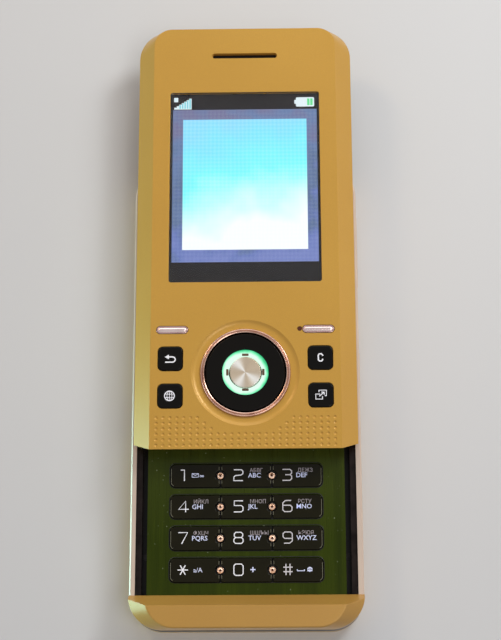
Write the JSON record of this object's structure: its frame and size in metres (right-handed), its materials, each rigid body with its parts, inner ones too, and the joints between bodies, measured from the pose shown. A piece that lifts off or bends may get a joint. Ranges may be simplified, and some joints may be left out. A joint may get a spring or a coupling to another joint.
{
  "type": "slider phone",
  "caption": "Gold slider phone standing open: a display half with navigation keys runs on rails over a keypad half that ends in a raised chin.",
  "frame": {"origin": "middle of the open phone's outline, on its flat back face", "axes": "+Y from the chin towards the ear slot, +Z out of the display, +X to the right as the display is read"},
  "size_m": [0.0473, 0.1288, 0.0142],
  "materials": {
    "gold_shell": "satin gold paint on moulded plastic",
    "gold_chin": "satin gold paint, a little darker",
    "gold_cover": "satin gold paint on the battery cover",
    "housing_gold": "satin paint on the rear housing",
    "silver_band": "pale silver paint on the frame",
    "olive_plate": "dark olive, fine vertical hairlines",
    "key_black": "glossy black key tops",
    "jewel_chrome": "bright domed studs",
    "trim_chrome": "polished trim ring",
    "soft_key_chrome": "polished pill keys",
    "nav_black": "gloss black ring",
    "light_guide": "glowing green-white light guide",
    "spun_metal": "spun metal disc",
    "window_glass": "clear display window",
    "lcd_frame": "display with a black frame",
    "slide_steel": "dark pressed steel",
    "inner_dark": "black moulded plastic",
    "camera_glass": "dark coated glass",
    "board_green": "lacquered circuit board",
    "silicone": "moulded silicone",
    "battery_wrap": "dark battery wrap",
    "flex_film": "amber flexible circuit",
    "spring_steel": "spring wire",
    "screw_steel": "small steel screws",
    "weight_metal": "sintered heavy metal"
  },
  "bodies": {
    "base": {"rear_housing": "housing_gold", "chin_cap": "gold_chin", "mid_frame": "silver_band", "keypad_plate": "olive_plate", "guide_rails": "slide_steel", "slide_base_plate": "slide_steel", "keypad_light_dots": "jewel_chrome", "keypad_mat": "silicone", "main_board": "board_green", "battery": "battery_wrap", "sim_holder": "screw_steel", "camera_module": "inner_dark", "camera_window": "camera_glass", "loudspeaker": "inner_dark", "vibration_motor": "screw_steel", "microphone": "screw_steel", "antenna_module": "inner_dark", "system_connector": "inner_dark", "side_key_switches": "screw_steel", "housing_screws": "screw_steel", "slide_flex": "flex_film", "assist_spring": "spring_steel"},
    "slider": {"slider_front_cover": "gold_shell", "display_window": "window_glass", "lcd_module": "lcd_frame", "earpiece": "inner_dark", "nav_trim_ring": "trim_chrome", "slider_board": "board_green", "slider_key_mat": "silicone", "slider_back_cover": "inner_dark", "slide_runners": "slide_steel", "light_sensor": "camera_glass", "slider_screws": "screw_steel"},
    "battery_cover": {"battery_cover": "gold_cover"},
    "volume_rocker": {"volume_rocker": "silver_band"},
    "camera_key": {"camera_key": "silver_band"},
    "power_key": {"power_key": "silver_band"},
    "vibration_weight": {"vibration_weight": "weight_metal"},
    "nav_carrier": {"nav_key_carrier": "inner_dark"},
    "nav_key": {"nav_key": "nav_black", "nav_light_ring": "light_guide"},
    "key_star": {"key_star": "key_black"},
    "key_0": {"key_0": "key_black"},
    "key_hash": {"key_hash": "key_black"},
    "key_1": {"key_1": "key_black"},
    "key_2": {"key_2": "key_black"},
    "key_3": {"key_3": "key_black"},
    "key_4": {"key_4": "key_black"},
    "key_5": {"key_5": "key_black"},
    "key_6": {"key_6": "key_black"},
    "key_7": {"key_7": "key_black"},
    "key_8": {"key_8": "key_black"},
    "key_9": {"key_9": "key_black"},
    "select_key": {"select_key": "spun_metal"},
    "soft_key_left": {"soft_key_left": "soft_key_chrome"},
    "soft_key_right": {"soft_key_right": "soft_key_chrome"},
    "back_key": {"back_key": "key_black"},
    "browser_key": {"browser_key": "key_black"},
    "clear_key": {"clear_key": "key_black"},
    "shortcut_key": {"shortcut_key": "key_black"}
  },
  "joints": [
    {"name": "slider_travel", "type": "slide", "parent": "base", "child": "slider", "axis": [0, -1, 0], "range_m": [0, 0.0308], "deforming": ["slide_flex", "assist_spring"]},
    {"name": "battery_cover_slide", "type": "slide", "parent": "base", "child": "battery_cover", "axis": [0, -1, 0], "range_m": [0, 0.062]},
    {"name": "volume_rocker_tilt", "type": "hinge", "parent": "base", "child": "volume_rocker", "pos_m": [0.0223, 0.0155, 0.0035], "axis": [0, 0, 1], "range_deg": [-2.5, 2.5], "stiffness_Nm_per_rad": 0.3},
    {"name": "camera_key_press", "type": "slide", "parent": "base", "child": "camera_key", "axis": [-1, 0, 0], "range_m": [0, 0.0003], "stiffness_N_per_m": 200},
    {"name": "power_key_press", "type": "slide", "parent": "base", "child": "power_key", "axis": [0, -1, 0], "range_m": [0, 0.0003], "stiffness_N_per_m": 200},
    {"name": "vibration_spin", "type": "hinge", "parent": "base", "child": "vibration_weight", "pos_m": [-0.00835, 0.0195, 0.0029], "axis": [1, 0, 0], "continuous": true},
    {"name": "nav_tilt_up_down", "type": "hinge", "parent": "slider", "child": "nav_carrier", "pos_m": [0, -0.0132, 0.01235], "axis": [1, 0, 0], "range_deg": [-1.8, 1.8], "stiffness_Nm_per_rad": 0.2},
    {"name": "nav_tilt_left_right", "type": "hinge", "parent": "nav_carrier", "child": "nav_key", "pos_m": [0, -0.0132, 0.01235], "axis": [0, 1, 0], "range_deg": [-1.8, 1.8], "stiffness_Nm_per_rad": 0.2},
    {"name": "key_star_press", "type": "slide", "parent": "base", "child": "key_star", "axis": [0, 0, -1], "range_m": [0, 0.00025], "stiffness_N_per_m": 200},
    {"name": "key_0_press", "type": "slide", "parent": "base", "child": "key_0", "axis": [0, 0, -1], "range_m": [0, 0.00025], "stiffness_N_per_m": 200},
    {"name": "key_hash_press", "type": "slide", "parent": "base", "child": "key_hash", "axis": [0, 0, -1], "range_m": [0, 0.00025], "stiffness_N_per_m": 200},
    {"name": "key_1_press", "type": "slide", "parent": "base", "child": "key_1", "axis": [0, 0, -1], "range_m": [0, 0.00025], "stiffness_N_per_m": 200},
    {"name": "key_2_press", "type": "slide", "parent": "base", "child": "key_2", "axis": [0, 0, -1], "range_m": [0, 0.00025], "stiffness_N_per_m": 200},
    {"name": "key_3_press", "type": "slide", "parent": "base", "child": "key_3", "axis": [0, 0, -1], "range_m": [0, 0.00025], "stiffness_N_per_m": 200},
    {"name": "key_4_press", "type": "slide", "parent": "base", "child": "key_4", "axis": [0, 0, -1], "range_m": [0, 0.00025], "stiffness_N_per_m": 200},
    {"name": "key_5_press", "type": "slide", "parent": "base", "child": "key_5", "axis": [0, 0, -1], "range_m": [0, 0.00025], "stiffness_N_per_m": 200},
    {"name": "key_6_press", "type": "slide", "parent": "base", "child": "key_6", "axis": [0, 0, -1], "range_m": [0, 0.00025], "stiffness_N_per_m": 200},
    {"name": "key_7_press", "type": "slide", "parent": "base", "child": "key_7", "axis": [0, 0, -1], "range_m": [0, 0.00025], "stiffness_N_per_m": 200},
    {"name": "key_8_press", "type": "slide", "parent": "base", "child": "key_8", "axis": [0, 0, -1], "range_m": [0, 0.00025], "stiffness_N_per_m": 200},
    {"name": "key_9_press", "type": "slide", "parent": "base", "child": "key_9", "axis": [0, 0, -1], "range_m": [0, 0.00025], "stiffness_N_per_m": 200},
    {"name": "select_key_press", "type": "slide", "parent": "slider", "child": "select_key", "axis": [0, 0, -1], "range_m": [0, 0.00025], "stiffness_N_per_m": 200},
    {"name": "soft_key_left_press", "type": "slide", "parent": "slider", "child": "soft_key_left", "axis": [0, 0, -1], "range_m": [0, 0.00025], "stiffness_N_per_m": 200},
    {"name": "soft_key_right_press", "type": "slide", "parent": "slider", "child": "soft_key_right", "axis": [0, 0, -1], "range_m": [0, 0.00025], "stiffness_N_per_m": 200},
    {"name": "back_key_press", "type": "slide", "parent": "slider", "child": "back_key", "axis": [0, 0, -1], "range_m": [0, 0.00025], "stiffness_N_per_m": 200},
    {"name": "browser_key_press", "type": "slide", "parent": "slider", "child": "browser_key", "axis": [0, 0, -1], "range_m": [0, 0.00025], "stiffness_N_per_m": 200},
    {"name": "clear_key_press", "type": "slide", "parent": "slider", "child": "clear_key", "axis": [0, 0, -1], "range_m": [0, 0.00025], "stiffness_N_per_m": 200},
    {"name": "shortcut_key_press", "type": "slide", "parent": "slider", "child": "shortcut_key", "axis": [0, 0, -1], "range_m": [0, 0.00025], "stiffness_N_per_m": 200}
  ]
}
